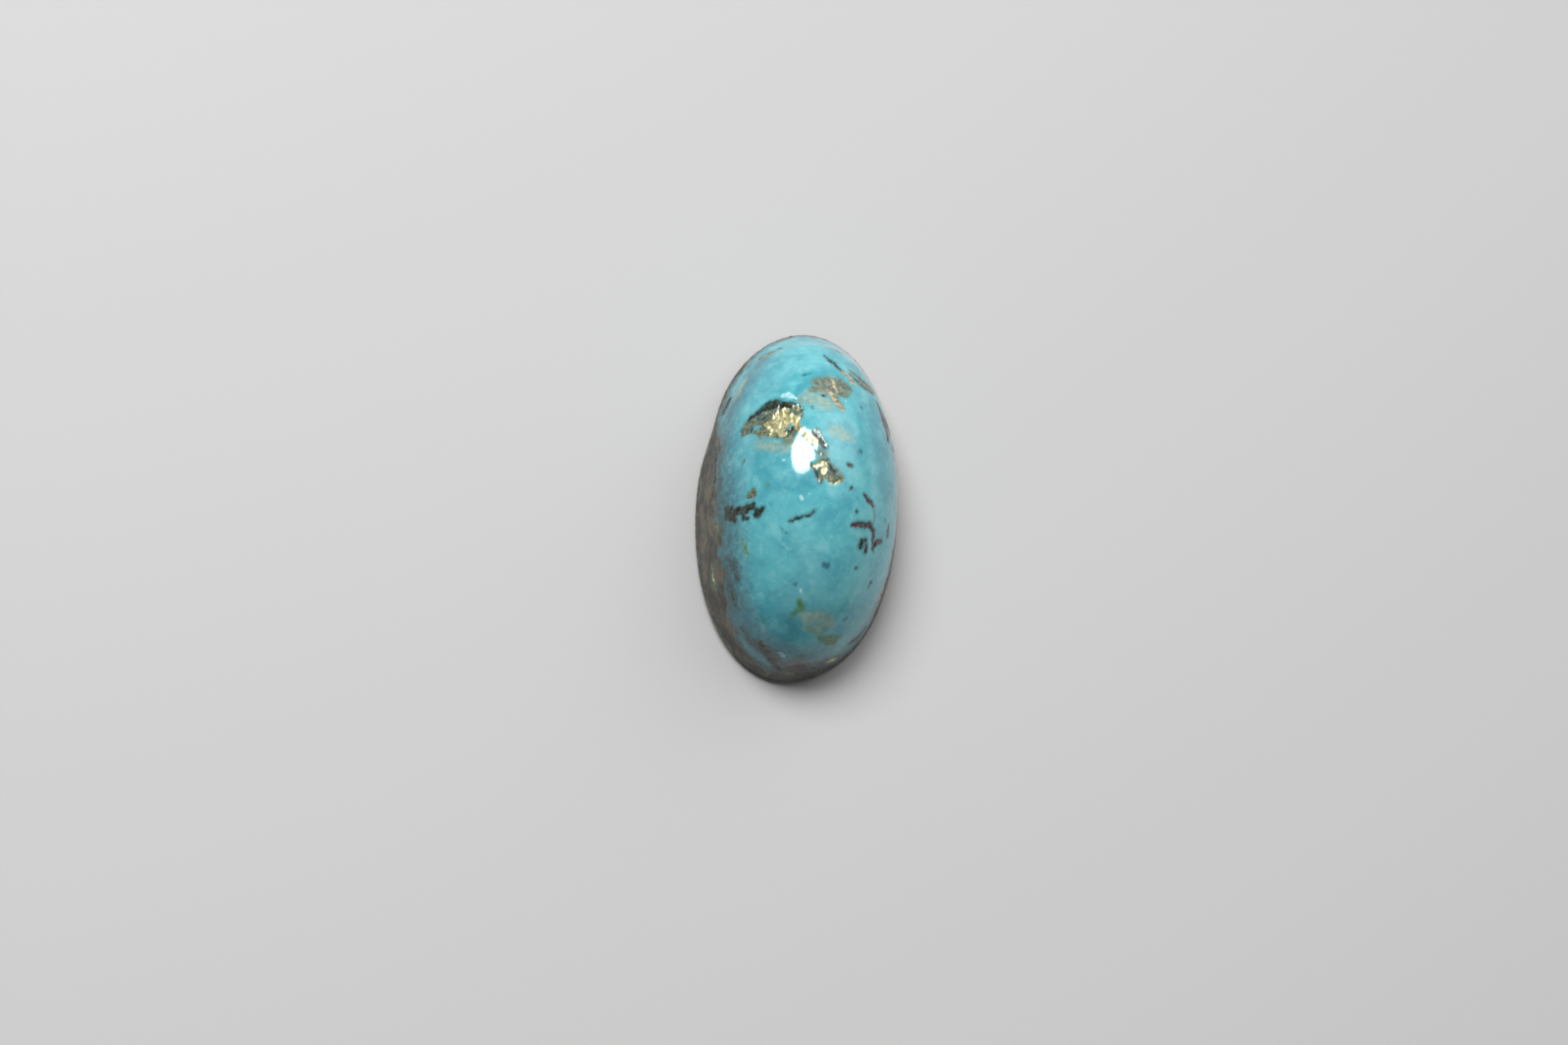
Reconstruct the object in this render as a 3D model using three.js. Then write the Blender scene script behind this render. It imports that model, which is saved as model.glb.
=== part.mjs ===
// A polished oval cabochon of turquoise: one stone, with a high dome over a low leaning wall, and a flat sawn back.
// Brassy pyrite and brown host rock are part of the stone. They wear down a little faster than the blue under the
// polish, so the larger patches are shallow hollows in the dome.
// Millimetres, +Z up. The origin is the middle of the flat back, and +Y runs along the stone to its narrower end.

import * as THREE from "three";
import { mergeVertices } from "three/addons/utils/BufferGeometryUtils.js";

// Driving dimensions
const length = 30.3; // along Y
const width = 17.9; // along X
const height = 11.6; // from the back to the crown
const footHeight = 0.7; // where the rounded foot turns into the wall
const footInset = 0.54; // how far the flat back stays inside the widest line
const shoulderHeight = 4.2; // where the wall turns into the dome
const shoulderInset = 0.86; // how far the wall leans in by the shoulder
const haunchRise = 2.3; // how far the dome still follows the wall's slope above the shoulder
const crownFlat = 0.52; // share of the half width that the crown's tangent reaches

// The hand-cut outline, as shares of an oval's radius
const skew = 0.035; // fuller towards +X +Y and towards -X -Y
const taper = 0.008; // the end at -Y is the blunter one
const squareness = 0.01; // fuller between the four ends of the axes
const leftFlat = { angle: 154, spread: 12, depth: 0.03 }; // a flat ground into the left shoulder, in degrees

// Rings and segments of the faceted surface
const segments = 96;
const domeRings = 28;
const wallRings = 3;
const footRings = 3;

// Hollows in the dome: the middle, the reach along and across, the turn in degrees, and the depth
const hollows = [
  { name: "main pyrite nest", x: -3.8, y: 6.1, along: 2.7, across: 1.9, turn: 12, depth: 0.2 },
  { name: "host rock near the narrow end", x: 1.3, y: 8.5, along: 3.1, across: 1.8, turn: 20, depth: 0.16 },
];
const hollowAim = new THREE.Vector3(0, 0, 3); // the point that the hollows sink towards

const turquoise = new THREE.MeshStandardMaterial({ color: "#5fb4c1", roughness: 0.22, metalness: 0 });

// What an oval's radius is multiplied by at an angle, in radians from +X, and at a share of the way out from the
// crown. All but the skew fade towards the crown, so that the dome stays smooth there.
function outlineFactor(angle, share) {
  const turn = THREE.MathUtils.radToDeg(angle) - leftFlat.angle;
  const fromFlat = THREE.MathUtils.euclideanModulo(turn + 180, 360) - 180;
  const flat = leftFlat.depth * Math.exp(-((fromFlat / leftFlat.spread) ** 2));
  const fading = taper * Math.sin(3 * angle) + squareness * Math.cos(4 * angle) + flat;
  return 1 + skew * Math.sin(2 * angle) - fading * share * share;
}

// Half of the stone's cross-section, from the middle of the back out round the foot and up to the crown.
function crossSection() {
  const foot = width / 2;
  const back = foot - footInset;
  const shoulder = foot - shoulderInset;
  const lean = shoulderInset / (shoulderHeight - footHeight);
  const footArc = new THREE.EllipseCurve(back, footHeight, footInset, footHeight, -Math.PI / 2, 0);
  const wall = new THREE.LineCurve(
    new THREE.Vector2(foot, footHeight),
    new THREE.Vector2(shoulder, shoulderHeight),
  );
  const dome = new THREE.CubicBezierCurve(
    new THREE.Vector2(shoulder, shoulderHeight),
    new THREE.Vector2(shoulder - lean * haunchRise, shoulderHeight + haunchRise),
    new THREE.Vector2(crownFlat * foot, height),
    new THREE.Vector2(0, height),
  );
  return [
    new THREE.Vector2(0, 0),
    ...footArc.getPoints(footRings),
    ...wall.getPoints(wallRings).slice(1),
    ...dome.getSpacedPoints(domeRings).slice(1),
  ];
}

// How deep the hollows are at a point of the dome, seen from above.
function hollowDepth(x, y) {
  return hollows.reduce((deepest, hollow) => {
    const turn = THREE.MathUtils.degToRad(hollow.turn);
    const dx = x - hollow.x;
    const dy = y - hollow.y;
    const along = (dx * Math.cos(turn) + dy * Math.sin(turn)) / hollow.along;
    const across = (dy * Math.cos(turn) - dx * Math.sin(turn)) / hollow.across;
    const reach = Math.min(1, along * along + across * across);
    return Math.max(deepest, hollow.depth * (1 - reach) ** 2);
  }, 0);
}

// Turns the cross-section round, and stretches the round form to the oval outline at its full length and width.
function cabochon() {
  const turned = new THREE.LatheGeometry(crossSection(), segments).rotateX(Math.PI / 2);
  turned.deleteAttribute("normal");
  turned.deleteAttribute("uv");
  const geometry = mergeVertices(turned);
  const position = geometry.getAttribute("position");
  for (let i = 0; i < position.count; i += 1) {
    const x = position.getX(i);
    const y = position.getY(i);
    const factor = outlineFactor(Math.atan2(y, x), Math.hypot(x, y) / (width / 2));
    position.setXY(i, x * factor, y * factor);
  }
  geometry.computeBoundingBox();
  const size = geometry.boundingBox.getSize(new THREE.Vector3());
  const middle = geometry.boundingBox.getCenter(new THREE.Vector3());
  return geometry.translate(-middle.x, -middle.y, 0).scale(width / size.x, length / size.y, 1);
}

// Sinks the hollows into the dome.
function withHollows(geometry) {
  const position = geometry.getAttribute("position");
  const point = new THREE.Vector3();
  const inward = new THREE.Vector3();
  for (let i = 0; i < position.count; i += 1) {
    point.fromBufferAttribute(position, i);
    if (point.z > shoulderHeight) {
      inward.subVectors(hollowAim, point).normalize();
      point.addScaledVector(inward, hollowDepth(point.x, point.y));
      position.setXYZ(i, point.x, point.y, point.z);
    }
  }
  geometry.computeVertexNormals();
  return geometry;
}

const stone = new THREE.Mesh(withHollows(cabochon()), turquoise);
stone.name = "stone";

const part = new THREE.Group();
part.name = "turquoise_cabochon";
part.add(stone);

export default part;
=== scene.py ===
# Polished turquoise cabochon: the turned and stretched stone as a fine mesh, its markings as distances kept
# on the vertices, and one material that draws the blue, the pyrite and the host rock from them.

import math
import bpy
import numpy as np
from mathutils import Matrix, Quaternion, Vector


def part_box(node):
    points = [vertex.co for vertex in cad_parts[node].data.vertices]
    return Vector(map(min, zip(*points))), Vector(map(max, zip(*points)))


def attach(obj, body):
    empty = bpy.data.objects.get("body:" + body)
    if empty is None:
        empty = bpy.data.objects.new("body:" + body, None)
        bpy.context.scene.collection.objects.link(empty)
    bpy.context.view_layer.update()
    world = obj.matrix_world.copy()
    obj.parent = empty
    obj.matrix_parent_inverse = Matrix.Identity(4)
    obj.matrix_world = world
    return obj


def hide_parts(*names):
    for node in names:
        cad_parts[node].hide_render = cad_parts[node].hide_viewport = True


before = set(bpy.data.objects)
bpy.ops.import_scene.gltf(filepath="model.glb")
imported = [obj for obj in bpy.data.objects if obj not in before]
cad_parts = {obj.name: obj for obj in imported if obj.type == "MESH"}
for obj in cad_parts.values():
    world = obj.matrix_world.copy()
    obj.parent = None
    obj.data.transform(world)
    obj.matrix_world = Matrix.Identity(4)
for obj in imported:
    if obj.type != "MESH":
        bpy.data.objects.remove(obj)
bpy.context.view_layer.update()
mm = 0.001
low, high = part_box("stone")

# The stone's form, in mm, as the solid has it. Length, width and height come from the solid's box.
stoneForm = {
    "width": (high.x - low.x) / mm,
    "length": (high.y - low.y) / mm,
    "height": (high.z - low.z) / mm,
    "footHeight": 0.7,  # where the rounded foot turns into the wall
    "footInset": 0.54,  # how far the flat back stays inside the widest line
    "shoulderHeight": 4.2,  # where the wall turns into the dome
    "shoulderInset": 0.86,
    "haunchRise": 2.3,
    "crownFlat": 0.52,
    "skew": 0.035,
    "taper": 0.008,
    "squareness": 0.01,
    "flatAngle": 154,  # a flat ground into the left shoulder, in degrees
    "flatSpread": 12,
    "flatDepth": 0.03,
    "hollowAim": (0, 0, 3),  # the point that the hollows sink towards
    # where the softer patches wore down: x, y, reach along and across, turn in degrees, depth
    "hollows": [
        (-3.8, 6.1, 2.7, 1.9, 12, 0.2),
        (1.3, 8.5, 3.1, 1.8, 20, 0.16),
    ],
    "rings": 144,  # of the grid over the dome and wall
    "backRings": 12,
    "lappedHeight": 0.15,  # how far up the foot the matt of the back runs out
}

# How the polished surface departs from the form: sizes across and depths, in mm
polish = {
    "waveSize": 9.0,  # the slow facets that the grinding wheel leaves
    "waveDepth": 0.03,
    "undercut": {
        "pyrite": 0.05, "limonite": 0.05, "iron": 0.03, "hostRock": 0.05, "olive": 0.04, "marl": 0.02,
    },
    "undercutEdge": 0.25,  # width of the step down into a softer mark
    "unevenSize": 0.5,
    "uneven": 0.4,  # share of an undercut that comes and goes
    "pitSize": 0.8,  # holes plucked out of the dark seams
    "pitDepth": 0.08,
    "pitFrom": 0.25,  # a ripple higher than this is a pit
    "pitEdge": 0.2,
    "grainSpacing": 0.6,  # pyrite grains
    "grainApart": 0.7,  # share of the spacing that keeps two grains' seeds apart
    "grainStep": 0.05,  # how much one grain stands above the next
    "grainTilt": 0.09,  # slope of a grain's face
    "grainOutside": 0.1,  # how far past the pyrite's edge grains are laid out
    "grainEdge": 0.08,
    "seed": 7,
}

# Random waves, each a sum of (height in mm, size in mm, seed)
waves = {
    "nudge": [(0.10, 1.5, 1), (0.06, 0.5, 11)],  # moves the markings' edges
    "beltEdge": [(0.45, 3.0, 21), (0.25, 1.1, 22)],  # the host rock's upper edge
    "backRock": [(1.6, 7.0, 51), (0.5, 1.8, 52)],  # host rock on the back
    "backVein": [(2.4, 9.0, 53)],
}
backRockShare = 0.5  # raises how much of the back is host rock
backVeinWidth = 0.12

# The markings. Each stroke is a chain of (x, y, reach), in mm: a place on the dome seen from above, and half
# the width of the mark there. One entry alone is a spot.
markings = {
    # painted light: paler blue laid down the right flank and over the lower middle, where the light falls
    # brighter and the sheen lies
    "paintedLight": [
        [(3.5, 5.0, 0.3), (4.4, 0.5, 0.6), (4.2, -3.5, 1.2), (3.2, -7.5, 1.4)],
        [(-1.6, -3.5, 0.5), (-0.6, -6.5, 0.9), (0.6, -9.0, 0.6)],
        [(-0.6, -6.5, 0.6), (-2.2, -9.3, 0.5)],
    ],
    # painted shade: darker blue along the left flank, the upper left and the lower end, the sides turned away
    # from the light
    "paintedShade": [
        [(-6.8, -5.0, 1.5), (-6.3, -8.5, 1.8), (-4.6, -11.6, 1.8), (0.5, -13.7, 1.2), (4.7, -12.2, 0.6)],
        [(-3.2, 12.6, 0.5), (-5.2, 9.9, 0.9), (-6.5, 7.3, 1.2)],
        [(-6.5, 7.3, 1.2), (-7.2, 4.0, 1.4), (-7.1, 0.5, 1.5), (-6.8, -3.5, 1.5)],
        [(-2.2, -10.8, 0.2), (-1.9, -11.3, 0.2)],
    ],
    "veil": [
        [(-1.5, 7.8, 0.40), (-0.8, 8.0, 0.55), (0.0, 7.9, 0.65), (0.9, 7.7, 0.50)],
        [(0.2, 7.3, 0.33), (0.9, 7.2, 0.30)],
        [(-0.8, 8.6, 0.30), (0.0, 8.8, 0.35)],
        [(1.0, 5.2, 0.35), (1.7, 4.9, 0.45), (2.6, 4.6, 0.30)],
        [(-4.9, 4.1, 0.33), (-4.0, 3.8, 0.42), (-3.0, 3.6, 0.42), (-2.4, 3.9, 0.33)],
        [(-0.8, -10.3, 0.50), (0.1, -10.3, 0.68), (1.0, -10.4, 0.60), (1.5, -10.9, 0.42)],
        [(-0.3, -11.1, 0.56), (0.6, -11.3, 0.60)],
        [(0.1, 3.1, 0.17), (0.4, 2.9, 0.17)],
    ],
    # pale chalky spots; the tiny dot at (-1.1, -0.4) is a painted glint
    "chalkAndGlint": [
        [(-2.8, 8.3, 0.22), (-2.2, 8.4, 0.26), (-1.8, 8.0, 0.18)],
        [(2.5, 7.9, 0.13)],
        [(-3.2, 2.5, 0.10)],
        [(-2.2, -13.3, 0.32)],
        [(-0.8, -15.0, 0.22)],
        [(-1.8, -0.8, 0.20)],
        # a painted glint: a tiny pale dot where a sparkle of light falls
        [(-1.1, -0.4, 0.08)],
        [(-0.1, -1.7, 0.07)],
        [(-5.8, -3.1, 0.07)],
        [(-1.5, -8.2, 0.10), (-1.3, -8.6, 0.08)],
    ],
    "green": [
        [(-1.4, -9.1, 0.30), (-1.3, -9.7, 0.38)],
        [(-1.7, -9.9, 0.28), (-1.9, -10.2, 0.24)],
        [(0.9, -11.9, 0.34), (1.6, -12.0, 0.50), (2.1, -12.2, 0.44)],
        [(2.4, -11.8, 0.34)],
        [(-6.1, -4.0, 0.16), (-5.9, -4.5, 0.26), (-5.8, -5.0, 0.20)],
        [(-4.3, 0.4, 0.12)],
    ],
    "dusk": [
        [(3.4, 3.4, 0.22)],
        [(-0.8, 10.2, 0.18), (-0.4, 10.2, 0.14)],
        [(3.9, 7.5, 0.18)],
        [(0.2, -6.2, 0.17), (0.7, -6.2, 0.20)],
        [(4.1, -11.7, 0.18)],
        [(2.9, -10.3, 0.22)],
        [(-2.0, -7.8, 0.16)],
        [(-3.3, -3.3, 0.08), (-2.9, -3.6, 0.08)],
        [(-6.9, -6.9, 0.42), (-6.4, -8.3, 0.42)],
    ],
    "marl": [
        [(0.0, 9.5, 0.33), (1.1, 9.8, 0.42), (2.2, 9.7, 0.50), (2.9, 9.2, 0.42)],
        [(0.4, 9.3, 0.45), (1.5, 9.4, 0.55), (2.4, 9.2, 0.55)],
        [(-0.3, 9.0, 0.33), (0.6, 9.0, 0.45), (1.6, 9.0, 0.50), (2.5, 8.7, 0.40)],
        [(1.0, 8.8, 0.33), (1.5, 8.4, 0.33), (1.9, 7.8, 0.25), (2.0, 7.2, 0.17)],
        [(-2.8, 4.2, 0.33), (-2.4, 4.6, 0.33), (-2.1, 5.1, 0.25)],
        [(-0.4, 5.0, 0.28), (0.0, 4.2, 0.30)],
        [(0.0, 3.1, 0.29), (0.0, 2.4, 0.33), (0.5, 2.0, 0.36), (1.0, 1.5, 0.38), (1.4, 1.0, 0.33)],
        [(4.4, 9.9, 0.35), (5.3, 9.4, 0.40)],
        [(-8.0, 0.3, 0.20), (-8.0, -0.7, 0.24), (-7.9, -1.7, 0.20)],
    ],
    "olive": [
        [(-5.7, 5.4, 0.45), (-5.6, 5.9, 0.50), (-5.2, 6.3, 0.50), (-4.8, 6.4, 0.50), (-4.3, 6.5, 0.72)],
        [(-4.3, 6.5, 0.72), (-3.6, 6.8, 0.86), (-2.9, 6.8, 0.86), (-2.3, 6.7, 0.62)],
        [(-4.5, 5.5, 0.50), (-3.9, 5.1, 0.50), (-3.1, 5.0, 0.50), (-2.5, 4.8, 0.42), (-2.1, 5.2, 0.33)],
        [(-5.1, 5.2, 0.25), (-4.6, 4.9, 0.25)],
        [(-1.9, 7.0, 0.40), (-1.6, 6.4, 0.25)],
        [(-0.1, 1.7, 0.40), (-0.1, 1.2, 0.33), (-0.2, 0.8, 0.30)],
        [(0.4, 1.3, 0.40), (0.9, 0.9, 0.40), (1.5, 1.0, 0.30)],
        [(-5.7, -0.3, 0.32), (-5.4, -0.2, 0.36)],
        [(-5.4, 0.1, 0.22)],
        [(2.6, 13.2, 0.20), (2.9, 12.9, 0.16)],
        [(3.5, 11.0, 0.16), (4.0, 10.6, 0.25), (4.5, 10.3, 0.34), (5.0, 10.0, 0.34), (5.8, 9.6, 0.25)],
        [(4.8, -1.1, 0.07), (4.9, -1.8, 0.07), (4.9, -2.4, 0.07)],
        [(4.8, -7.6, 0.16)],
        [(-7.9, -2.0, 0.25), (-7.8, -2.8, 0.25)],
        [(-1.5, -14.6, 0.25), (-0.9, -14.6, 0.22)],
        [(7.5, -4.0, 0.16), (7.6, -5.1, 0.20), (8.0, -6.1, 0.21), (7.8, -7.3, 0.25), (7.4, -8.4, 0.18)],
    ],
    "iron": [
        [(6.0, 8.4, 0.20), (6.2, 7.7, 0.38), (6.5, 6.8, 0.52), (6.7, 5.9, 0.42), (6.8, 5.1, 0.25)],
        [(3.7, -0.2, 0.10), (4.1, -0.4, 0.20), (4.5, -0.7, 0.22), (4.7, -1.0, 0.12)],
        [(3.1, -1.8, 0.13)],
        [(2.6, -2.9, 0.12), (3.0, -2.7, 0.26), (3.4, -2.7, 0.26), (4.0, -2.8, 0.19), (4.5, -2.7, 0.28)],
        [(4.5, -2.7, 0.28), (4.8, -3.1, 0.24), (4.9, -3.7, 0.19), (4.9, -4.3, 0.22)],
        [(5.2, -4.1, 0.28), (5.7, -3.8, 0.26)],
        [(4.0, -4.0, 0.24), (4.1, -4.8, 0.22)],
        [(6.1, -2.0, 0.13)],
        [(6.6, -2.4, 0.16), (6.5, -3.1, 0.20)],
        [(3.3, -6.3, 0.14)],
        [(5.0, -7.2, 0.22)],
    ],
    # painted shadow: near-black laid along the lower left rim, the lower end and the left rim, where the
    # stone lies in shadow
    "paintedShadow": [
        [(-6.9, -5.5, 0.42), (-6.6, -6.2, 0.52), (-6.4, -7.0, 0.40)],
        [(-6.8, -7.7, 0.50), (-6.5, -8.4, 0.62), (-6.2, -9.0, 0.48)],
        [(-8.0, -5.0, 0.40), (-7.9, -6.6, 0.50), (-7.4, -8.7, 0.60)],
        [(-7.4, -8.7, 0.60), (-6.5, -10.8, 0.60), (-5.2, -12.6, 0.60)],
        [(-4.1, -13.5, 0.60), (-2.3, -14.5, 0.50), (0.0, -14.8, 0.42)],
        [(-5.5, -11.0, 0.35), (-4.6, -12.2, 0.50), (-3.4, -13.0, 0.85)],
        [(-3.4, -13.0, 0.85), (-2.4, -13.7, 0.85), (-1.4, -14.3, 0.45)],
        [(0.4, -14.0, 0.50), (1.8, -13.8, 0.55), (3.0, -13.4, 0.40), (4.4, -12.9, 0.25)],
        [(-7.4, 3.9, 0.30), (-7.6, 2.6, 0.35), (-7.6, 1.0, 0.30)],
    ],
    "limonite": [
        [(-5.9, 5.7, 0.16), (-5.9, 5.2, 0.16)],
        [(-5.4, 5.3, 0.12), (-5.3, 5.7, 0.16)],
        [(-5.5, 6.3, 0.14), (-5.2, 6.7, 0.20), (-4.8, 7.0, 0.26), (-4.4, 7.3, 0.28), (-3.9, 7.5, 0.33)],
        [(-3.9, 7.5, 0.33), (-3.4, 7.6, 0.36), (-2.9, 7.5, 0.34), (-2.4, 7.5, 0.27), (-2.0, 7.3, 0.21)],
        [(-2.0, 7.3, 0.21), (-1.6, 7.0, 0.17)],
        [(-4.6, 6.5, 0.12), (-4.3, 6.7, 0.16)],
        [(-3.4, 7.9, 0.15)],
        [(-0.7, 4.8, 0.13), (-0.4, 4.7, 0.21), (0.0, 4.2, 0.24), (0.2, 3.6, 0.19)],
        [(-1.0, 2.1, 0.12), (-0.6, 1.6, 0.15), (-0.5, 1.0, 0.17), (-0.2, 0.6, 0.17)],
        [(0.4, 2.3, 0.16), (0.7, 1.8, 0.17), (1.0, 1.5, 0.12)],
        [(-2.6, 5.1, 0.17), (-2.3, 5.2, 0.21), (-2.1, 5.2, 0.17)],
        [(-0.4, 3.2, 0.10), (0.0, 3.0, 0.12)],
        [(1.3, 12.3, 0.08), (1.7, 11.7, 0.14), (2.3, 11.2, 0.16), (2.6, 10.9, 0.12)],
        [(3.3, 10.6, 0.10), (3.7, 10.1, 0.14), (4.2, 9.7, 0.15), (4.9, 9.4, 0.15), (5.6, 9.2, 0.12)],
        [(0.6, 8.4, 0.13)],
        [(-0.5, 7.2, 0.09)],
        [(6.9, 6.8, 0.30), (7.2, 5.9, 0.34)],
        [(4.8, -4.5, 0.10), (5.0, -4.8, 0.12)],
        [(3.6, -4.1, 0.24), (3.6, -4.5, 0.28)],
        [(2.5, 2.1, 0.22)],
        [(2.6, 0.2, 0.18)],
        [(-7.2, -1.1, 0.28), (-7.2, -1.8, 0.34)],
        [(-6.9, -1.2, 0.26), (-6.9, -1.8, 0.50), (-6.7, -2.2, 0.24)],
        [(-6.5, -1.5, 0.36), (-6.1, -1.5, 0.38), (-5.8, -1.3, 0.30), (-5.4, -1.1, 0.24)],
        [(-6.1, -2.1, 0.20), (-5.8, -2.2, 0.18)],
        [(-5.2, -1.5, 0.22), (-5.2, -1.9, 0.32), (-5.0, -1.8, 0.25), (-4.7, -1.5, 0.15)],
        [(-2.7, -2.6, 0.07), (-2.2, -2.4, 0.10), (-1.7, -2.3, 0.12), (-1.1, -2.1, 0.17), (-0.6, -1.8, 0.08)],
        [(-6.0, 2.7, 0.12)],
        [(-7.6, 4.5, 0.25), (-7.7, 3.4, 0.29), (-7.8, 2.3, 0.29), (-7.9, 1.5, 0.21)],
        [(-4.0, -12.3, 0.24), (-3.3, -13.0, 0.46), (-2.6, -13.8, 0.48), (-1.9, -14.3, 0.28)],
        [(-6.6, -8.1, 0.16), (-6.4, -8.6, 0.22)],
        [(0.6, -14.3, 0.22), (1.9, -14.1, 0.26)],
    ],
    "bronze": [
        [(1.5, 9.9, 0.14), (1.7, 9.3, 0.20), (1.9, 8.9, 0.14)],
        [(0.9, 9.0, 0.15), (1.3, 8.5, 0.23), (1.6, 7.9, 0.22), (1.9, 7.3, 0.17), (2.1, 7.0, 0.11)],
        [(2.6, 10.9, 0.18), (3.0, 10.4, 0.25), (3.4, 9.9, 0.22), (3.7, 9.6, 0.13)],
        [(-4.2, 7.0, 0.13)],
        [(1.2, 4.8, 0.07), (1.7, 4.5, 0.11), (2.1, 4.3, 0.07)],
        [(0.4, 1.9, 0.12), (0.3, 2.2, 0.12)],
        [(-0.3, 0.9, 0.13)],
    ],
    "pyrite": [
        [(-2.8, 6.9, 0.48), (-3.3, 6.4, 0.62), (-3.8, 6.0, 0.45)],
        [(-2.9, 6.1, 0.62), (-3.3, 5.6, 0.55), (-3.8, 5.4, 0.40)],
        [(-2.2, 6.4, 0.33), (-2.1, 6.0, 0.50), (-1.9, 5.6, 0.28)],
        [(-4.0, 5.5, 0.25), (-4.2, 5.8, 0.25), (-4.4, 6.0, 0.17)],
        [(-4.0, 4.9, 0.21), (-3.9, 5.1, 0.17)],
        [(-3.2, 4.9, 0.33), (-2.9, 4.9, 0.21)],
        [(-4.7, 5.1, 0.15)],
        [(-2.1, 7.3, 0.12), (-1.8, 7.1, 0.17)],
        [(-1.5, 7.1, 0.10)],
        [(-0.6, 2.0, 0.25), (-0.2, 2.1, 0.28)],
        [(0.1, 2.1, 0.22), (0.1, 1.7, 0.22), (0.0, 1.4, 0.18)],
        [(0.6, 0.6, 0.15)],
        [(1.0, 0.5, 0.16), (1.4, 0.7, 0.12)],
    ],
    "brass": [
        [(-1.9, 5.3, 0.18), (-1.5, 5.0, 0.27), (-1.0, 4.5, 0.30), (-0.6, 4.1, 0.30), (-0.5, 3.6, 0.18)],
    ],
}

# More markings, low on the wall: (angle from +X in degrees, height above the back, reach)
wallMarkings = {
    "iron": [
        [(22, 5.4, 0.16), (15, 4.7, 0.18), (9, 4.0, 0.22), (4, 3.1, 0.20)],
        [(9, 4.0, 0.16), (2, 4.4, 0.12), (-4, 4.7, 0.08)],
        [(268, 4.6, 0.08), (272, 3.8, 0.12), (279, 3.2, 0.12), (284, 2.4, 0.10)],
    ],
    "limonite": [
        [(-18, 4.4, 0.25), (-22, 4.0, 0.30), (-25, 4.2, 0.15)],
        [(33, 3.4, 0.20)],
        [(140, 2.4, 0.30), (146, 2.1, 0.25)],
        [(300, 3.5, 0.22), (306, 3.0, 0.30), (311, 2.9, 0.18)],
    ],
    "pyrite": [
        [(-31, 3.7, 0.28), (-34, 3.2, 0.33)],
        [(-27, 3.0, 0.14)],
        [(112, 3.0, 0.14), (115, 2.7, 0.10)],
        [(287, 2.7, 0.26), (291, 2.4, 0.22)],
        [(205, 3.2, 0.16), (208, 3.0, 0.12)],
    ],
    "olive": [
        [(-29, 3.9, 0.45), (-35, 3.1, 0.50)],
        [(285, 2.8, 0.40), (292, 2.3, 0.36)],
        [(110, 3.2, 0.24), (116, 2.7, 0.24)],
        [(203, 3.3, 0.30), (209, 2.9, 0.26)],
    ],
    "green": [
        [(48, 3.8, 0.33), (53, 3.4, 0.30)],
        [(318, 4.4, 0.25), (322, 4.1, 0.20)],
    ],
    "veil": [
        [(38, 4.4, 0.45), (46, 4.6, 0.55), (52, 4.1, 0.40)],
        [(130, 3.4, 0.40), (137, 3.7, 0.45)],
    ],
    "dusk": [
        [(105, 3.4, 0.30)],
        [(-48, 2.8, 0.35), (-53, 3.1, 0.30)],
    ],
}

# The host rock that the wall was cut down to: its upper edge, in mm above the back, at angles from +X
hostRockBelt = {
    0: 2.2, 20: 3.0, 34: 2.4, 60: 1.2, 90: 0.8, 125: 1.0, 148: 1.4, 157: 3.1, 168: 4.2, 181: 5.1, 198: 5.5,
    207: 5.2, 213: 4.6, 220: 3.7, 232: 2.5, 245: 1.6, 252: 1.6, 262: 3.5, 270: 3.6, 286: 2.2, 300: 1.4,
    322: 2.2, 340: 3.6, 360: 2.2,
}


def linear(hexColour):
    # sRGB hex to linear RGBA
    parts = [int(hexColour[i:i + 2], 16) / 255 for i in (1, 3, 5)]
    return [c / 12.92 if c <= 0.04045 else ((c + 0.055) / 1.055) ** 2.4 for c in parts] + [1.0]


def outlineFactor(angle, share):
    # what an oval's radius is multiplied by: 1 plus a slow skew, less waves and one soft flat that fade
    # towards the crown with the square of the share of the way out
    f = stoneForm
    turn = (np.degrees(angle) - f["flatAngle"] + 180) % 360 - 180
    flat = f["flatDepth"] * np.exp(-((turn / f["flatSpread"]) ** 2))
    fading = f["taper"] * np.sin(3 * angle) + f["squareness"] * np.cos(4 * angle) + flat
    return 1 + f["skew"] * np.sin(2 * angle) - fading * share * share


# The round form's outline is moved and stretched until it fills the length and width
around = np.linspace(0, 2 * np.pi, 3601)
outlineX = outlineFactor(around, 1) * np.cos(around)
outlineY = outlineFactor(around, 1) * np.sin(around)
middle = np.array([outlineX.max() + outlineX.min(), outlineY.max() + outlineY.min()]) / 2
stretch = np.array([stoneForm["width"] / np.ptp(outlineX), stoneForm["length"] / np.ptp(outlineY)])


def overOval(angle, share):
    # x and y in mm: the share of the outline's radius at that angle, moved and stretched to the oval
    reach = share * outlineFactor(angle, share)
    x = (reach * np.cos(angle) - middle[0]) * stretch[0]
    y = (reach * np.sin(angle) - middle[1]) * stretch[1]
    return x, y


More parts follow.
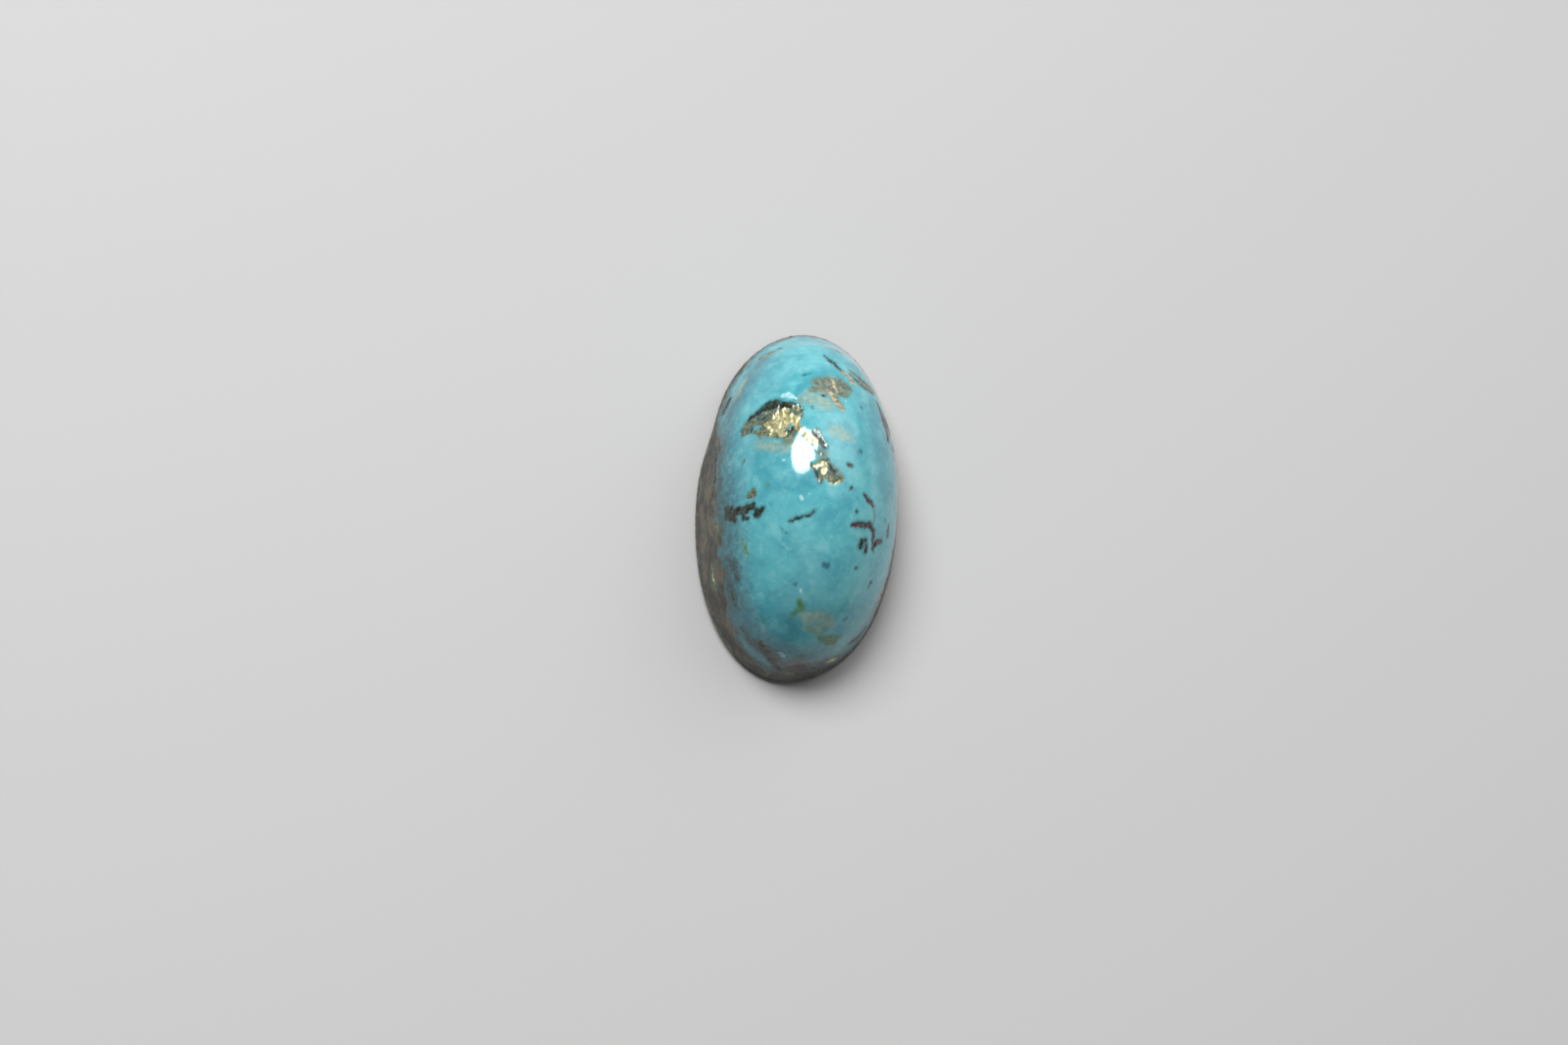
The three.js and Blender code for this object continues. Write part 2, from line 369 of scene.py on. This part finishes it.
def crossSection(count):
    # share of the radius and height from the crown to the edge of the back: a cubic curve, a leaning wall and
    # a quarter oval, at even steps along its length
    f = stoneForm
    half = f["width"] / 2
    shoulder = 1 - f["shoulderInset"] / half
    back = 1 - f["footInset"] / half
    lean = (1 - shoulder) / (f["shoulderHeight"] - f["footHeight"])
    u = np.linspace(0, 1, 600)
    corner = [
        (0, f["height"]),
        (f["crownFlat"], f["height"]),
        (shoulder - lean * f["haunchRise"], f["shoulderHeight"] + f["haunchRise"]),
        (shoulder, f["shoulderHeight"]),
    ]
    weight = [(1 - u) ** 3, 3 * (1 - u) ** 2 * u, 3 * (1 - u) * u ** 2, u ** 3]
    dome = np.stack([sum(w * c[axis] for w, c in zip(weight, corner)) for axis in (0, 1)])
    bend = np.linspace(0, np.pi / 2, 60)
    foot = np.stack([back + (1 - back) * np.cos(bend), f["footHeight"] * (1 - np.sin(bend))])
    line = np.concatenate([dome, foot], axis=1)
    meanHalf = (f["width"] + f["length"]) / 4
    walked = np.concatenate([[0], np.cumsum(np.hypot(np.diff(line[0]) * meanHalf, np.diff(line[1])))])
    stops = np.linspace(0, walked[-1], count)
    return np.interp(stops, walked, line[0]), np.interp(stops, walked, line[1])


def ripple(points, size, seed, count=30):
    # smooth random field of about -1 to 1: plane waves about one size long in random directions, summed
    draw = np.random.default_rng(seed)
    way = draw.normal(size=(count, 3))
    length = np.linalg.norm(way, axis=1, keepdims=True)
    way *= 2 * np.pi / size * draw.uniform(0.6, 1.5, (count, 1)) / length
    return np.sin(points @ way.T + draw.uniform(0, 2 * np.pi, count)).sum(axis=1) * math.sqrt(0.6 / count)


def waveSum(points, name, shift=0):
    # one of the named sums of ripples, with its seeds moved by the shift
    return sum(height * ripple(points, size, seed + shift) for height, size, seed in waves[name])


shares, heights = crossSection(800)
widest = np.argmax(shares)


def onDome(x, y):
    # the point above a place seen from above: the place's share of the outline gives its height
    angle = np.arctan2(y / stretch[1] + middle[1], x / stretch[0] + middle[0])
    reach = np.hypot(y / stretch[1] + middle[1], x / stretch[0] + middle[0])
    share = reach
    for _ in range(4):
        share = reach / outlineFactor(angle, share)
    return [x, y, np.interp(min(share, 1), shares[:widest + 1], heights[:widest + 1])]


def onWall(degrees, height):
    # the point at an angle and a height: the height's share of the outline gives its x and y
    share = np.interp(-height, -heights[:widest + 1], shares[:widest + 1])
    x, y = overOval(math.radians(degrees), share)
    return [x, y, height]


def strokeReach(points, chains):
    # distance in mm to the edge of the nearest chain, less than 0 inside: each stretch between two knots is a
    # capsule whose radius runs evenly from one to the other
    nearest = np.full(len(points), 9.0)
    for knots in chains:
        for start, end in zip(knots, knots[1:] or knots):
            step = end - start
            run = max(step[:3] @ step[:3], 1e-9)
            along = np.clip((points - start[:3]) @ step[:3] / run, 0, 1)
            gap = np.linalg.norm(points - start[:3] - along[:, None] * step[:3], axis=1)
            nearest = np.minimum(nearest, gap - start[3] - along * step[3])
    return nearest


def markReaches(points):
    # every marking's distance at each point, after the points are nudged by ripples, so that edges wander
    nudge = np.stack([waveSum(points, "nudge", axis) for axis in (0, 1, 2)], axis=1)
    reaches = {}
    for name, strokes in markings.items():
        chains = [[np.array(onDome(x, y) + [reach]) for x, y, reach in stroke] for stroke in strokes]
        chains += [
            [np.array(onWall(angle, height) + [reach]) for angle, height, reach in stroke]
            for stroke in wallMarkings.get(name, [])
        ]
        reaches[name] = strokeReach(points + nudge, chains)
    angle = np.degrees(np.arctan2(points[:, 1] / stretch[1], points[:, 0] / stretch[0])) % 360
    edge = np.interp(angle, list(hostRockBelt), list(hostRockBelt.values()))
    reaches["hostRock"] = points[:, 2] - edge - waveSum(points, "beltEdge")
    return reaches


def discGrid(rings):
    # a square grid laid onto a disc: each square ring becomes a circle, so the quads stay even, with no pole
    step = np.linspace(-1, 1, 2 * rings + 1)
    u, v = np.meshgrid(step, step)
    ring = np.maximum(abs(u), abs(v))
    wide = abs(u) >= abs(v)
    base = np.where(ring == 0, 1, np.where(wide, u, v))
    turn = np.where(wide, v / base, 2 - u / base) * np.pi / 4
    angle = np.arctan2(np.sin(turn) * base, np.cos(turn) * base)
    return angle, ring


def hollowShift(points):
    # the worn hollows: each sinks by its depth times (1 - r * r) squared towards one aim, r being the share
    # of its own turned oval seen from above
    deepest = np.zeros(len(points))
    for x, y, along, across, degrees, depth in stoneForm["hollows"]:
        turn = math.radians(degrees)
        dx, dy = points[:, 0] - x, points[:, 1] - y
        u = (dx * math.cos(turn) + dy * math.sin(turn)) / along
        v = (dy * math.cos(turn) - dx * math.sin(turn)) / across
        deepest = np.maximum(deepest, depth * (1 - np.minimum(u * u + v * v, 1)) ** 2)
    deepest *= points[:, 2] > stoneForm["shoulderHeight"]
    inward = np.array(stoneForm["hollowAim"]) - points
    inward /= np.linalg.norm(inward, axis=1, keepdims=True)
    return inward * deepest[:, None]


def grainFaces(points, reach):
    # pyrite breaks the polish into grains: seeds strewn over it, and each point takes its nearest seed's step
    # and tilted face
    draw = np.random.default_rng(polish["seed"])
    inside = np.flatnonzero(reach < polish["grainOutside"])
    inside = inside[np.argsort(draw.random(len(inside)))]
    apart = polish["grainSpacing"] * polish["grainApart"]
    seeds = []
    for point in points[inside]:
        if all(abs(point - seed).max() > apart for seed in seeds):
            seeds.append(point)
    seeds = np.array(seeds)
    tilt = draw.normal(0, polish["grainTilt"], seeds.shape)
    rise = draw.uniform(0, polish["grainStep"], len(seeds))
    away = points[inside, None] - seeds[None]
    nearest = np.argmin((away ** 2).sum(axis=2), axis=1)
    offset = away[np.arange(len(inside)), nearest]
    depth = np.zeros(len(points))
    depth[inside] = rise[nearest] + (offset * tilt[nearest]).sum(axis=1)
    return depth * np.clip(-reach / polish["grainEdge"], 0, 1)


def softInside(reach, edge):
    # 1 well inside a mark, 0 outside, with a soft step as wide as edge
    t = np.clip(0.5 - reach / edge, 0, 1)
    return t * t * (3 - 2 * t)


def makeStone():
    f = stoneForm
    rings = f["rings"]
    angle, ring = discGrid(rings)
    ringShares, ringHeights = crossSection(rings + 1)
    index = np.rint(ring * rings).astype(int)
    x, y = overOval(angle, ringShares[index])
    surface = np.stack([x, y, ringHeights[index]], axis=-1)
    across, down = np.gradient(surface, axis=1), np.gradient(surface, axis=0)
    normal = np.cross(across, down)
    normal /= np.linalg.norm(normal, axis=-1, keepdims=True)
    points, normals = surface.reshape(-1, 3), normal.reshape(-1, 3)
    reaches = markReaches(points)
    print("stone: markings placed on", len(points), "points")

    depth = polish["waveDepth"] * (1 + np.tanh(ripple(points, polish["waveSize"], 31))) * 0.5
    rough = 1 - polish["uneven"] + polish["uneven"] * ripple(points, polish["unevenSize"], 41)
    for name, cut in polish["undercut"].items():
        depth += cut * rough * softInside(reaches[name], polish["undercutEdge"])
    seams = np.minimum(reaches["limonite"], reaches["iron"])
    pits = np.clip(ripple(points, polish["pitSize"], 42) - polish["pitFrom"], 0, 1)
    depth += polish["pitDepth"] * pits * softInside(seams, polish["pitEdge"])
    depth += grainFaces(points, np.minimum(reaches["pyrite"], reaches["brass"]))
    fade = np.clip(points[:, 2] / f["footHeight"], 0, 1)  # the foot stays true, so the stone sits flat
    shaped = points + hollowShift(points) - normals * (np.maximum(depth, 0) * fade)[:, None]

    # the flat back: rings shrinking from the grid's edge to one point in the middle
    side = 2 * rings
    grid = np.arange((side + 1) ** 2).reshape(side + 1, side + 1)
    rim = np.concatenate([grid[0, :-1], grid[:-1, -1], grid[-1, :0:-1], grid[:0:-1, 0]])
    shrink = np.linspace(1, 0, f["backRings"] + 1)[1:-1]
    backPoints = (shaped[rim][None] * shrink[:, None, None]).reshape(-1, 3)
    vertices = np.concatenate([shaped, backPoints, [[0, 0, 0]]])

    quads = np.stack([grid[:-1, :-1], grid[:-1, 1:], grid[1:, 1:], grid[1:, :-1]], axis=-1).reshape(-1, 4)
    count = len(rim)
    ringIds = np.concatenate([rim[None], len(shaped) + np.arange(len(shrink) * count).reshape(-1, count)])
    outer, inner = ringIds[:-1], ringIds[1:]
    backQuads = np.stack([
        outer, inner, np.roll(inner, -1, axis=1), np.roll(outer, -1, axis=1)
    ], axis=-1).reshape(-1, 4)
    last = ringIds[-1]
    fan = np.stack([last, np.full(count, len(vertices) - 1), np.roll(last, -1)], axis=-1)

    mesh = bpy.data.meshes.new("stoneSurface")
    mesh.from_pydata((vertices * mm).tolist(), [], quads.tolist() + backQuads.tolist() + fan.tolist())
    mesh.polygons.foreach_set("use_smooth", np.ones(len(mesh.polygons), dtype=bool))
    backPlaces = vertices[len(shaped):]
    for name, values in reaches.items():
        onBack = np.full(len(backPlaces), 9.0)
        if name == "hostRock":  # the sawn back is mostly host rock, with a few windows of blue
            onBack = waveSum(backPlaces, "backRock") - backRockShare
        elif name == "limonite":  # and a few dark veins
            onBack = abs(waveSum(backPlaces, "backVein")) - backVeinWidth
        layer = mesh.attributes.new(name + "Reach", "FLOAT", "POINT")
        layer.data.foreach_set("value", np.concatenate([values, onBack]).astype(np.float32))
    lapped = mesh.attributes.new("lapped", "FLOAT", "POINT")
    matt = np.clip(1 - vertices[:, 2] / f["lappedHeight"], 0, 1)
    lapped.data.foreach_set("value", matt.astype(np.float32))
    mesh.update()
    piece = bpy.data.objects.new("turquoiseStone", mesh)
    bpy.context.scene.collection.objects.link(piece)
    print("stone: mesh of", len(quads) * 2 + len(backQuads) * 2 + len(fan), "triangles")
    return piece


# Noise patterns of the stone: size in mm, detail, roughness, warp, and a stretch along X, Y and Z
patterns = {
    "cloud": (3.6, 3, 0.5, 0.6, (1, 1, 1)),  # slow drift of tone
    "drift": (1.3, 3, 0.5, 0.3, (1, 1, 1)),
    "mottle": (0.5, 3, 0.5, 0.2, (1, 1, 1)),  # packed nodules
    "fleck": (0.14, 2, 0.5, 0, (1, 1, 1)),
    "ragged": (0.4, 4, 0.65, 0, (1, 1, 1)),  # what breaks the edges of the markings
    "patch": (0.55, 3, 0.6, 0.4, (1, 1, 1)),
    "shade": (0.3, 4, 0.65, 0.3, (1, 1, 1)),
    "layers": (1.2, 5, 0.7, 0.8, (0.6, 0.6, 1.1)),  # the host rock's tones, drawn out a little along the back
    "fineRelief": (0.09, 3, 0.6, 0, (1, 1, 1)),  # stronger on the duller markings
    "scratch": (0.5, 2, 0.5, 0, (6, 0.12, 1)),  # left by the lap on the back
}

# The blue, as sRGB colours. Each tint is laid over the ones before it, as its pattern runs from one value to
# the other.
blueBase = "#4a9dab"
blueTints = [
    {"tint": "#5bafb9", "pattern": "cloud", "between": (0.40, 0.58), "cover": 1.0},
    {"tint": "#82c5c8", "pattern": "drift", "between": (0.50, 0.70), "cover": 0.45},
    {"tint": "#4492a2", "pattern": "drift", "between": (0.46, 0.30), "cover": 0.55},
    {"tint": "#8ccbcc", "pattern": "mottle", "between": (0.54, 0.72), "cover": 0.2},
    {"tint": "#3b899a", "pattern": "mottle", "between": (0.42, 0.28), "cover": 0.25},
    {"tint": "#a2d6d4", "pattern": "fleck", "between": (0.66, 0.80), "cover": 0.14},
    {"tint": "#2c7385", "pattern": "fleck", "between": (0.34, 0.22), "cover": 0.16},
]
# faint pale seams between nodules, in mm, where the drift pattern is high
blueWeb = {"size": 1.5, "width": 0.06, "tint": "#86c9cb", "cover": 0.14, "between": (0.45, 0.6)}
glaze = {
    "roughness": 0.09,
    "ior": 1.62,
    "lappedRoughness": 0.5,
    "lappedTint": "#a9aca3",
    "lappedCover": 0.25,
    "bump": 0.25,
    "bumpDistance": 0.06,  # mm
}

tonesBetween = (0.40, 0.62)  # the part of a pattern over which a marking runs through its tones
patchyBetween = (0.38, 0.52)  # the part of the patch pattern over which a patchy marking fills in

# Each marking's tones, edge softness and raggedness in mm, how much of the blue it hides, how patchy it is,
# roughness, metal, and the stain around it: width in mm, cover and colour. They are laid on in this order.
markLooks = {
    # painted light: the paler blue where the light falls brighter
    "paintedLight": {"tones": ("#82c6ca", "#7cc4c8"), "soft": 4.0, "rag": 2.0, "cover": 0.52},
    # painted shade: the darker blue on the sides turned away from the light
    "paintedShade": {"tones": ("#2a6373", "#305a60"), "soft": 2.8, "rag": 2.0, "cover": 0.8, "patchy": 0.35},
    "veil": {"tones": ("#7b9a8c", "#8ca495", "#9bac9c"), "soft": 0.9, "rag": 0.5, "cover": 0.85,
             "patchy": 0.2, "pattern": "mottle"},
    # pale chalky spots, with one painted glint among them
    "chalkAndGlint": {"tones": ("#9fd4da", "#c3e4e4"), "soft": 0.2, "rag": 0.25, "cover": 0.8, "rough": 0.2},
    "dusk": {"tones": ("#2f5f6b", "#2a525c"), "soft": 0.3, "rag": 0.3, "cover": 0.8},
    # painted shadow: the near-black along the lower left rim and the lower end
    "paintedShadow": {"tones": ("#191a14", "#292b23", "#3a4541"), "soft": 1.1, "rag": 1.1, "cover": 0.88,
               "patchy": 0.3},
    "green": {"tones": ("#46692c", "#5f843a"), "soft": 0.5, "rag": 0.45, "cover": 0.85, "patchy": 0.2},
    "marl": {"tones": ("#474a3a", "#66674f", "#83816a"), "soft": 0.5, "rag": 0.4, "cover": 0.85,
             "rough": 0.2, "stain": (0.4, 0.45, "#67958a")},
    "hostRock": {"tones": ("#211b13", "#3b3226", "#484a38", "#665a46"), "soft": 0.8, "rag": 1.3,
                 "cover": 0.96, "rough": 0.4, "pattern": "layers", "stain": (1.6, 0.8, "#2f4f50")},
    "olive": {"tones": ("#3d402b", "#626449", "#84835f"), "soft": 0.2, "rag": 0.4, "cover": 0.92,
              "rough": 0.24, "stain": (0.3, 0.4, "#4f8276")},
    "iron": {"tones": ("#17110f", "#3a2320", "#743f35"), "soft": 0.16, "rag": 0.28, "cover": 0.96,
             "patchy": 0.15, "rough": 0.22, "stain": (0.3, 0.55, "#467279")},
    "limonite": {"tones": ("#0e100a", "#1d1f13", "#3d3f29"), "soft": 0.16, "rag": 0.28, "cover": 0.97,
                 "patchy": 0.2, "rough": 0.24, "stain": (0.3, 0.55, "#3c6a6c")},
    "bronze": {"tones": ("#857a58", "#b7a887", "#d8cdb2"), "soft": 0.1, "rag": 0.15, "cover": 0.95,
               "rough": 0.34, "metal": 0.4},
    "pyrite": {"tones": ("#a5a070", "#cac694", "#e8e5bf"), "soft": 0.1, "rag": 0.35, "cover": 1,
               "rough": 0.4, "metal": 0.65, "grain": 1},
    "brass": {"tones": ("#b5ab70", "#ddd39a"), "soft": 0.1, "rag": 0.4, "cover": 1,
              "rough": 0.3, "metal": 0.8, "grain": 0.4},
}
pyriteGrain = {"size": 0.65, "lean": 0.2, "seam": 0.05, "seamTint": "#6b6644", "seamCover": 0.4}  # mm


def add(tree, kind, links=None, **settings):
    # one node: its settings, then its inputs, each from another node's output or as a plain value
    node = tree.nodes.new(kind)
    for name, value in settings.items():
        setattr(node, name, value)
    for name, source in (links or {}).items():
        if isinstance(source, bpy.types.NodeSocket):
            tree.links.new(source, node.inputs[name])
        else:
            node.inputs[name].default_value = source
    return node


def polishedTurquoise():
    # Turquoise cut en cabochon and polished on felt: an opaque, faintly cloudy blue under a glassy surface.
    # Pyrite grains flash like brass in it, and the iron-stained seams stay dark and a little duller.
    material = bpy.data.materials.new("polishedTurquoise")
    material.use_nodes = True
    tree = material.node_tree
    tree.nodes.clear()
    place = add(tree, "ShaderNodeTexCoord").outputs["Object"]
    inMm = add(tree, "ShaderNodeVectorMath", {0: place, "Scale": 1 / mm}, operation="SCALE").outputs[0]
    field = {}
    for name, (size, detail, roughness, warp, scale) in patterns.items():
        stretched = add(tree, "ShaderNodeVectorMath", {0: inMm, 1: scale}, operation="MULTIPLY").outputs[0]
        field[name] = add(tree, "ShaderNodeTexNoise", {
            "Vector": stretched,
            "Scale": 1 / size,
            "Detail": detail,
            "Roughness": roughness,
            "Distortion": warp,
        }).outputs["Fac"]

    colour = linear(blueBase)
    for layer in blueTints:
        start, end = layer["between"]
        amount = add(tree, "ShaderNodeMapRange", {
            "Value": field[layer["pattern"]], 1: start, 2: end, 4: layer["cover"],
        }, interpolation_type="SMOOTHSTEP").outputs[0]
        colour = add(tree, "ShaderNodeMix", {
            0: amount, 6: colour, 7: linear(layer["tint"]),
        }, data_type="RGBA").outputs[2]
    bent = add(tree, "ShaderNodeVectorMath", {0: inMm, 1: field["ragged"]}, operation="ADD").outputs[0]
    seams = add(tree, "ShaderNodeTexVoronoi", {
        "Vector": bent, "Scale": 1 / blueWeb["size"],
    }, feature="DISTANCE_TO_EDGE").outputs["Distance"]
    web = add(tree, "ShaderNodeMapRange", {
        "Value": seams, 1: blueWeb["width"] / blueWeb["size"], 2: 0, 4: blueWeb["cover"],
    }).outputs[0]
    start, end = blueWeb["between"]
    shown = add(tree, "ShaderNodeMapRange", {"Value": field["drift"], 1: start, 2: end}).outputs[0]
    web = add(tree, "ShaderNodeMath", {0: web, 1: shown}, operation="MULTIPLY").outputs[0]
    colour = add(tree, "ShaderNodeMix", {
        0: web, 6: colour, 7: linear(blueWeb["tint"]),
    }, data_type="RGBA").outputs[2]

    roughness = glaze["roughness"]
    metal = 0.0
    grainy = 0.0
    wander = add(tree, "ShaderNodeMath", {0: field["ragged"], 1: 0.5}, operation="SUBTRACT").outputs[0]
    # among the markings are painted light, painted shade, painted shadow and one painted glint, laid into the
    # colour like the rest
    for name, mark in markLooks.items():
        reach = add(tree, "ShaderNodeAttribute", attribute_name=name + "Reach").outputs["Fac"]
        edge = add(tree, "ShaderNodeMath", {
            0: wander, 1: mark["rag"], 2: reach,
        }, operation="MULTIPLY_ADD").outputs[0]
        if "stain" in mark:
            width, cover, tint = mark["stain"]
            stain = add(tree, "ShaderNodeMapRange", {
                "Value": edge, 1: width, 2: 0, 4: cover,
            }, interpolation_type="SMOOTHSTEP").outputs[0]
            colour = add(tree, "ShaderNodeMix", {
                0: stain, 6: colour, 7: linear(tint),
            }, data_type="RGBA").outputs[2]
        mask = add(tree, "ShaderNodeMapRange", {
            "Value": edge, 1: mark["soft"] / 2, 2: -mark["soft"] / 2, 4: mark["cover"],
        }, interpolation_type="SMOOTHSTEP").outputs[0]
        if "patchy" in mark:
            start, end = patchyBetween
            thin = add(tree, "ShaderNodeMapRange", {
                "Value": field["patch"], 1: start, 2: end, 3: 1 - mark["patchy"],
            }).outputs[0]
            mask = add(tree, "ShaderNodeMath", {0: mask, 1: thin}, operation="MULTIPLY").outputs[0]
        own = linear(mark["tones"][0])
        steps = np.linspace(*tonesBetween, len(mark["tones"]))
        for start, end, tone in zip(steps, steps[1:], mark["tones"][1:]):
            rise = add(tree, "ShaderNodeMapRange", {
                "Value": field[mark.get("pattern", "shade")], 1: start, 2: end,
            }).outputs[0]
            own = add(tree, "ShaderNodeMix", {0: rise, 6: own, 7: linear(tone)}, data_type="RGBA").outputs[2]
        colour = add(tree, "ShaderNodeMix", {0: mask, 6: colour, 7: own}, data_type="RGBA").outputs[2]
        if "rough" in mark:
            roughness = add(tree, "ShaderNodeMix", {0: mask, 2: roughness, 3: mark["rough"]}).outputs[0]
            metal = add(tree, "ShaderNodeMix", {0: mask, 2: metal, 3: mark.get("metal", 0)}).outputs[0]
        if "grain" in mark:
            grainy = add(tree, "ShaderNodeMath", {
                0: mask, 1: mark["grain"], 2: grainy,
            }, operation="MULTIPLY_ADD").outputs[0]

    # grains of pyrite lean their own way, so they flash one by one, with dark seams between them
    grains = add(tree, "ShaderNodeTexVoronoi", {
        "Vector": inMm, "Scale": 1 / pyriteGrain["size"],
    }).outputs["Color"]
    lean = add(tree, "ShaderNodeVectorMath", {0: grains, 1: (0.5, 0.5, 0.5)}, operation="SUBTRACT").outputs[0]
    amount = add(tree, "ShaderNodeMath", {0: grainy, 1: pyriteGrain["lean"]}, operation="MULTIPLY").outputs[0]
    lean = add(tree, "ShaderNodeVectorMath", {0: lean, "Scale": amount}, operation="SCALE").outputs[0]
    between = add(tree, "ShaderNodeTexVoronoi", {
        "Vector": inMm, "Scale": 1 / pyriteGrain["size"],
    }, feature="DISTANCE_TO_EDGE").outputs["Distance"]
    seam = add(tree, "ShaderNodeMapRange", {
        "Value": between, 1: pyriteGrain["seam"] / pyriteGrain["size"], 2: 0, 4: pyriteGrain["seamCover"],
    }).outputs[0]
    seam = add(tree, "ShaderNodeMath", {0: seam, 1: grainy}, operation="MULTIPLY").outputs[0]
    colour = add(tree, "ShaderNodeMix", {
        0: seam, 6: colour, 7: linear(pyriteGrain["seamTint"]),
    }, data_type="RGBA").outputs[2]

    # the lapped back is matt and paler, with fine straight scratches
    lapped = add(tree, "ShaderNodeAttribute", attribute_name="lapped").outputs["Fac"]
    dull = add(tree, "ShaderNodeMath", {0: lapped, 1: glaze["lappedCover"]}, operation="MULTIPLY").outputs[0]
    colour = add(tree, "ShaderNodeMix", {
        0: dull, 6: colour, 7: linear(glaze["lappedTint"]),
    }, data_type="RGBA").outputs[2]
    relief = add(tree, "ShaderNodeMath", {
        0: roughness, 1: field["fineRelief"],
    }, operation="MULTIPLY").outputs[0]
    marks = add(tree, "ShaderNodeMath", {0: lapped, 1: field["scratch"]}, operation="MULTIPLY").outputs[0]
    relief = add(tree, "ShaderNodeMath", {0: relief, 1: marks}, operation="ADD").outputs[0]
    bump = add(tree, "ShaderNodeBump", {
        "Height": relief, "Strength": glaze["bump"], "Distance": glaze["bumpDistance"] * mm,
    }).outputs[0]
    leaning = add(tree, "ShaderNodeVectorMath", {0: bump, 1: lean}, operation="ADD").outputs[0]
    normal = add(tree, "ShaderNodeVectorMath", {0: leaning}, operation="NORMALIZE").outputs[0]

    roughness = add(tree, "ShaderNodeMix", {0: lapped, 2: roughness, 3: glaze["lappedRoughness"]}).outputs[0]
    shader = add(tree, "ShaderNodeBsdfPrincipled", {
        "Base Color": colour,
        "Roughness": roughness,
        "Metallic": metal,
        "Normal": normal,
        "IOR": glaze["ior"],
    })
    add(tree, "ShaderNodeOutputMaterial", {"Surface": shader.outputs[0]})
    print("material: polished turquoise,", len(tree.nodes), "nodes")
    return material


# Studio: distances and sizes in mm, angles in degrees, power in watts. Each light is seen from the stone in
# the direction toward, and rolled about it.
studio = {
    "floor": "#c2c2c2",
    "floorRoughness": 0.9,
    "floorHalf": 3000,
    "floorGap": 0.02,  # between the stone's back and the floor
    "world": "#e6e6e6",
    "worldStrength": 0.14,
    "lights": {
        "key": {
            "toward": (-0.302, 0.529, 0.793),
            "distance": 600,
            "size": (380, 270),
            "roll": -31,
            "power": 4.1,
            "spread": 180,
        },
        "fill": {
            "toward": (0.52, 0.60, 0.61),
            "distance": 700,
            "size": (1000, 1000),
            "roll": 0,
            "power": 0.95,
            "spread": 76,
        },
    },
}

# The camera, as the photograph was taken: from above, a little towards the stone's left and blunt end.
# Distances in mm, angles in degrees.
view = {
    "azimuth": -55,
    "elevation": 76,
    "lens": 70,
    "distance": 259.3,
    "target": (0.017, -0.118, 5.0),
    "aside": 1.99,  # how far right of the frame's middle the target sits, at the stone
    "above": 1.80,  # and how far above it
    "clipStart": 10,
}


def makeCamera():
    turn, rise = math.radians(view["azimuth"]), math.radians(view["elevation"])
    back = Vector((math.sin(turn) * math.cos(rise), -math.cos(turn) * math.cos(rise), math.sin(rise)))
    up = (Vector((0, 1, 0)) - back * back.y).normalized()
    right = up.cross(back)
    target = Vector(view["target"])
    place = target + back * view["distance"]
    aim = target - right * view["aside"] - up * view["above"]
    back = (place - aim).normalized()
    up = (Vector((0, 1, 0)) - back * back.y).normalized()
    right = up.cross(back)
    data = bpy.data.cameras.new("camera")
    data.lens = view["lens"]
    data.clip_start = view["clipStart"] * mm
    camera = bpy.data.objects.new("camera", data)
    camera.matrix_world = Matrix.Translation(place * mm) @ Matrix((right, up, back)).transposed().to_4x4()
    bpy.context.scene.collection.objects.link(camera)
    bpy.context.scene.camera = camera


def makeStudio():
    # matt paper floor, a bright oval light high up beyond the narrower end, a wide soft fill, and a pale room
    half = studio["floorHalf"] * mm
    corners = [(-half, -half, 0), (half, -half, 0), (half, half, 0), (-half, half, 0)]
    mesh = bpy.data.meshes.new("floor")
    mesh.from_pydata(corners, [], [(0, 1, 2, 3)])
    floor = bpy.data.objects.new("floor", mesh)
    floor.location.z = low.z - studio["floorGap"] * mm
    bpy.context.scene.collection.objects.link(floor)
    paper = bpy.data.materials.new("mattPaper")
    paper.use_nodes = True
    shader = paper.node_tree.nodes["Principled BSDF"]
    shader.inputs["Base Color"].default_value = linear(studio["floor"])
    shader.inputs["Roughness"].default_value = studio["floorRoughness"]
    mesh.materials.append(paper)

    centre = Vector((0, 0, stoneForm["height"] * mm))
    for name, lamp in studio["lights"].items():
        toward = Vector(lamp["toward"]).normalized()
        data = bpy.data.lights.new(name, "AREA")
        data.shape = "ELLIPSE"
        data.size, data.size_y = [side * mm for side in lamp["size"]]
        data.energy = lamp["power"]
        data.spread = math.radians(lamp["spread"])
        light = bpy.data.objects.new(name, data)
        light.location = centre + toward * lamp["distance"] * mm
        roll = Quaternion((0, 0, 1), math.radians(lamp["roll"]))
        light.rotation_euler = (toward.to_track_quat("Z", "Y") @ roll).to_euler()
        bpy.context.scene.collection.objects.link(light)

    world = bpy.data.worlds.new("room")
    world.use_nodes = True
    sky = world.node_tree.nodes["Background"]
    sky.inputs["Color"].default_value = linear(studio["world"])
    sky.inputs["Strength"].default_value = studio["worldStrength"]
    bpy.context.scene.world = world
    bpy.context.scene.view_settings.view_transform = "Standard"
    print("studio: floor, lights and room")


makeCamera()
makeStudio()
stone = makeStone()
stone.data.materials.append(polishedTurquoise())
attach(stone, "root")
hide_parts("stone")
print("stone: dressed")
